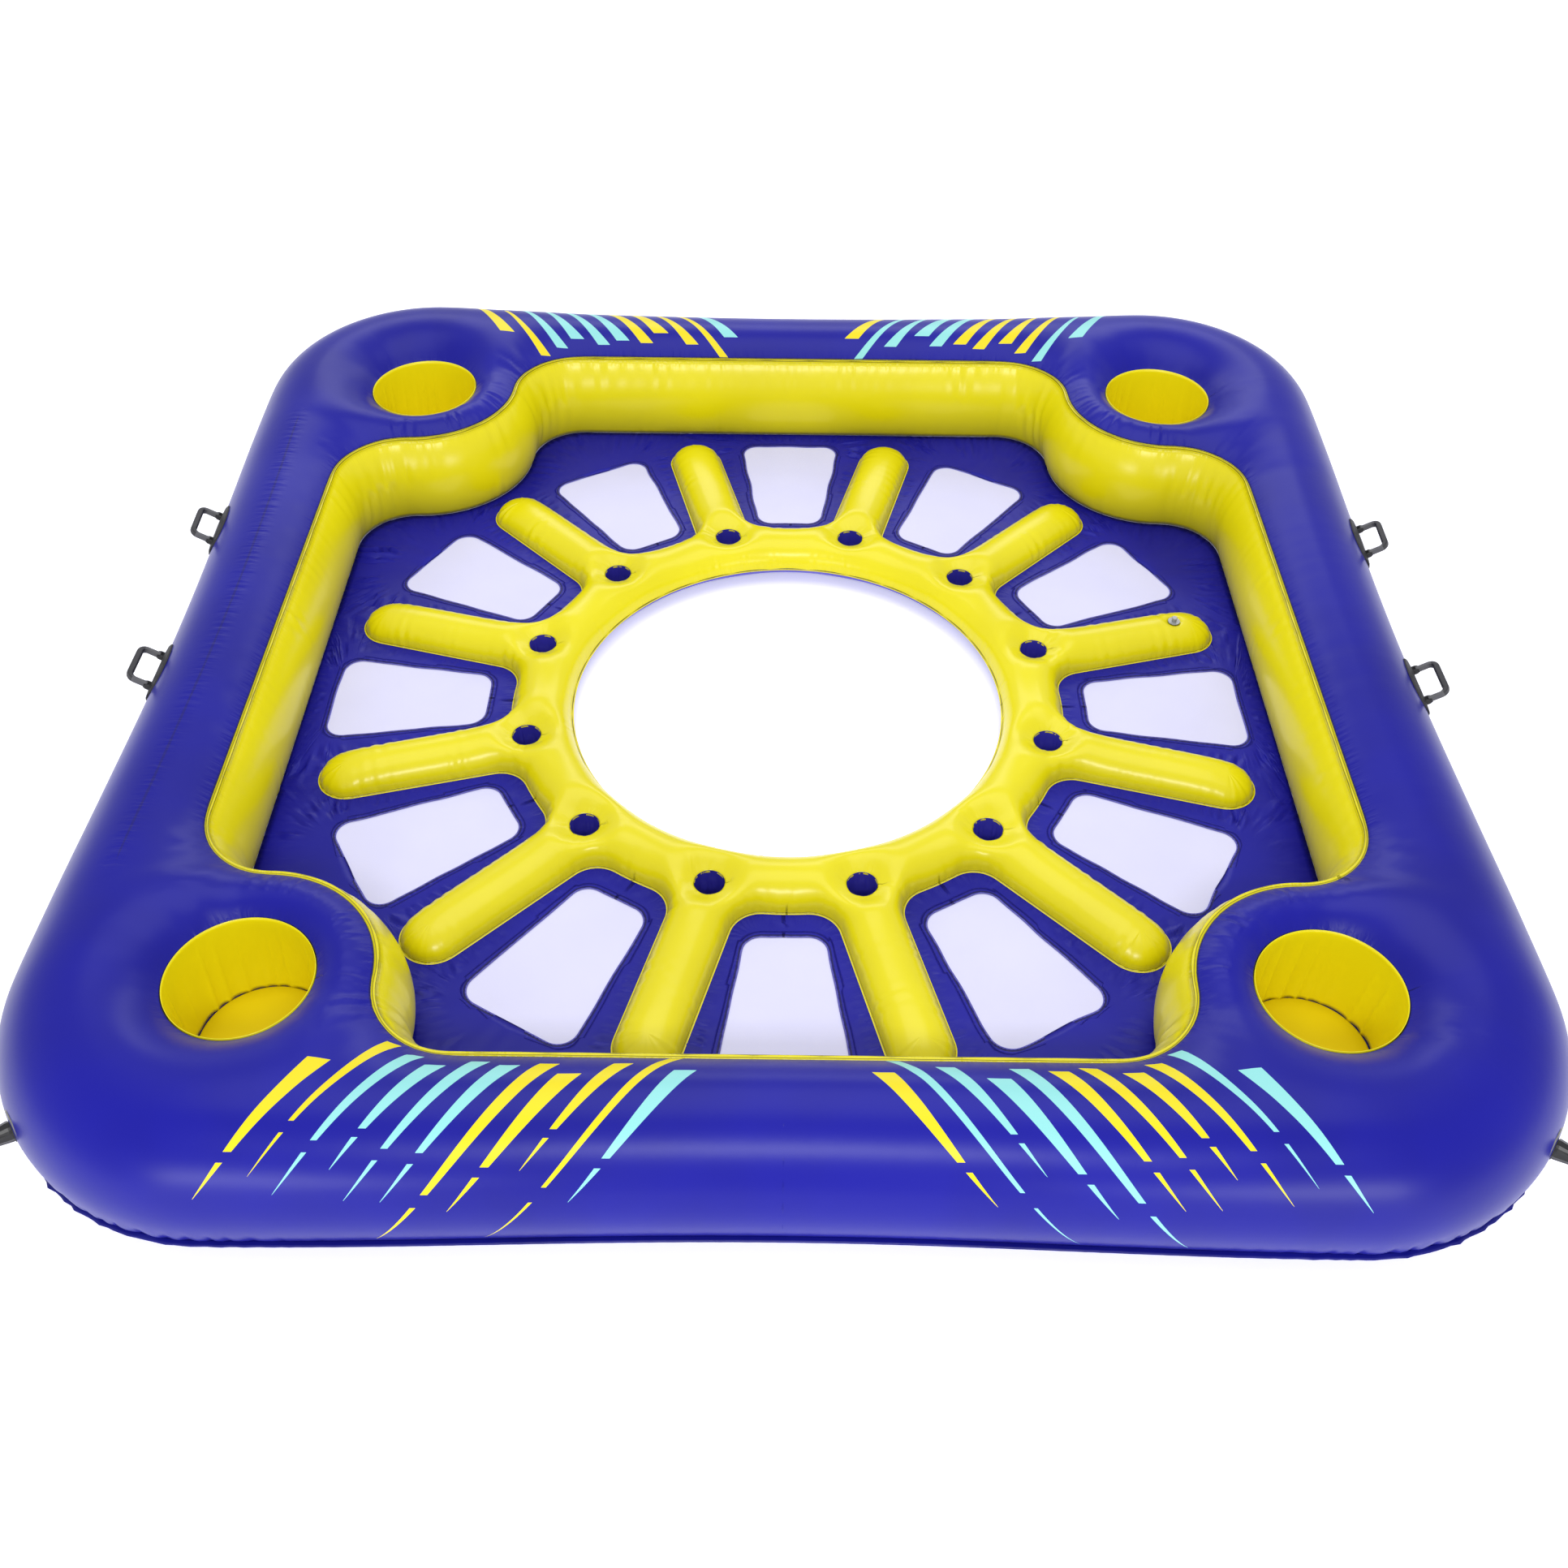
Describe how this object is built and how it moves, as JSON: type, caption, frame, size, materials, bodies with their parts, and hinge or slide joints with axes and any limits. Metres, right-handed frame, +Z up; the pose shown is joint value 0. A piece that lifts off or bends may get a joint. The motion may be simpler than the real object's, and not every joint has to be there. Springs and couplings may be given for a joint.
{
  "type": "inflatable raft",
  "caption": "Square inflatable lounge raft: an air tube with cooler wells in its corners, a meshed floor, and a spoked hub with can holders round a central opening.",
  "frame": {"origin": "centre of the raft in plan, on the surface it rests on", "axes": "+Z up; +Y towards the back side, away from the picture's camera; +X towards the right side, which carries two of the handles"},
  "size_m": [3.0834, 3.0492, 0.357],
  "materials": {
    "blue_vinyl": "smooth PVC, soft gloss",
    "yellow_vinyl": "smooth PVC, soft gloss",
    "mesh_cloth": "coated open mesh",
    "black_rubber": "satin",
    "grey_rubber": "satin",
    "grey_plastic": "satin",
    "black_plastic": "satin",
    "clear_plastic": "soft translucent PVC"
  },
  "bodies": {
    "raft": {"can_sleeve_01": "blue_vinyl", "can_sleeve_02": "blue_vinyl", "can_sleeve_03": "blue_vinyl", "can_sleeve_04": "blue_vinyl", "can_sleeve_05": "blue_vinyl", "can_sleeve_06": "blue_vinyl", "can_sleeve_07": "blue_vinyl", "can_sleeve_08": "blue_vinyl", "can_sleeve_09": "blue_vinyl", "can_sleeve_10": "blue_vinyl", "can_sleeve_11": "blue_vinyl", "can_sleeve_12": "blue_vinyl", "chamber_baffle_back": "blue_vinyl", "chamber_baffle_front": "blue_vinyl", "cooler_floor_back_left": "yellow_vinyl", "cooler_floor_back_right": "yellow_vinyl", "cooler_floor_front_left": "yellow_vinyl", "cooler_floor_front_right": "yellow_vinyl", "cooler_sleeve_back_left": "yellow_vinyl", "cooler_sleeve_back_right": "yellow_vinyl", "cooler_sleeve_front_left": "yellow_vinyl", "cooler_sleeve_front_right": "yellow_vinyl", "floor_sheet": "blue_vinyl", "handle_patch_left_back": "black_rubber", "handle_patch_left_front": "black_rubber", "handle_patch_right_back": "black_rubber", "handle_patch_right_front": "black_rubber", "hub_lower_sheet": "blue_vinyl", "hub_upper_sheet": "yellow_vinyl", "hub_valve_base": "clear_plastic", "mesh_panel_01": "mesh_cloth", "mesh_panel_02": "mesh_cloth", "mesh_panel_03": "mesh_cloth", "mesh_panel_04": "mesh_cloth", "mesh_panel_05": "mesh_cloth", "mesh_panel_06": "mesh_cloth", "mesh_panel_07": "mesh_cloth", "mesh_panel_08": "mesh_cloth", "mesh_panel_09": "mesh_cloth", "mesh_panel_10": "mesh_cloth", "mesh_panel_11": "mesh_cloth", "mesh_panel_12": "mesh_cloth", "ring_lower_back": "blue_vinyl", "ring_lower_front": "blue_vinyl", "ring_upper_sheet": "blue_vinyl", "valve_body_left": "grey_plastic", "valve_body_right": "grey_plastic", "valve_insert_left": "clear_plastic", "valve_insert_right": "clear_plastic", "well_wall_sheet": "yellow_vinyl"},
    "grip_left_back": {"handle_grip_left_back": "grey_rubber"},
    "grip_left_front": {"handle_grip_left_front": "grey_rubber"},
    "grip_right_back": {"handle_grip_right_back": "grey_rubber"},
    "grip_right_front": {"handle_grip_right_front": "grey_rubber"},
    "tether_left": {"cap_tether_left": "black_rubber"},
    "tether_right": {"cap_tether_right": "black_rubber"},
    "cap_left": {"valve_cap_left": "black_plastic"},
    "cap_right": {"valve_cap_right": "black_plastic"},
    "hub_stem": {"hub_valve_stem": "clear_plastic"},
    "hub_plug": {"hub_valve_plug": "clear_plastic"}
  },
  "joints": [
    {"name": "grip_fold_left_back", "type": "hinge", "parent": "raft", "child": "grip_left_back", "pos_m": [-1.4954, 0.40452, 0.26559], "axis": [-0.0303, 0.9995, 0], "range_deg": [-70, 70]},
    {"name": "grip_fold_left_front", "type": "hinge", "parent": "raft", "child": "grip_left_front", "pos_m": [-1.4896, -0.14988, 0.26559], "axis": [0.014, 0.9999, 0], "range_deg": [-70, 70]},
    {"name": "grip_fold_right_back", "type": "hinge", "parent": "raft", "child": "grip_right_back", "pos_m": [1.4954, 0.40452, 0.26559], "axis": [0.0303, 0.9995, 0], "range_deg": [-70, 70]},
    {"name": "grip_fold_right_front", "type": "hinge", "parent": "raft", "child": "grip_right_front", "pos_m": [1.4896, -0.14988, 0.26559], "axis": [-0.014, 0.9999, 0], "range_deg": [-70, 70]},
    {"name": "cap_turn_left", "type": "hinge", "parent": "raft", "child": "tether_left", "pos_m": [-1.42192, -1.33655, 0.18627], "axis": [-0.7893, -0.6056, 0.1013], "range_deg": [0, 1260]},
    {"name": "cap_lift_left", "type": "slide", "parent": "tether_left", "child": "cap_left", "axis": [-0.7893, -0.6056, 0.1013], "range_m": [0, 0.0176]},
    {"name": "cap_turn_right", "type": "hinge", "parent": "raft", "child": "tether_right", "pos_m": [1.42192, -1.33655, 0.18627], "axis": [0.7893, -0.6056, 0.1013], "range_deg": [0, 1260]},
    {"name": "cap_lift_right", "type": "slide", "parent": "tether_right", "child": "cap_right", "axis": [0.7893, -0.6056, 0.1013], "range_m": [0, 0.0176]},
    {"name": "stem_push", "type": "slide", "parent": "raft", "child": "hub_stem", "axis": [0, 0, 1], "range_m": [-0.008, 0]},
    {"name": "plug_pull", "type": "slide", "parent": "hub_stem", "child": "hub_plug", "axis": [0, 0, 1], "range_m": [0, 0.01]}
  ],
  "couplings": [
    {"joint": "cap_lift_left", "follows": "cap_turn_left", "m_per_rad": 0.00079577},
    {"joint": "cap_lift_right", "follows": "cap_turn_right", "m_per_rad": 0.00079577}
  ]
}
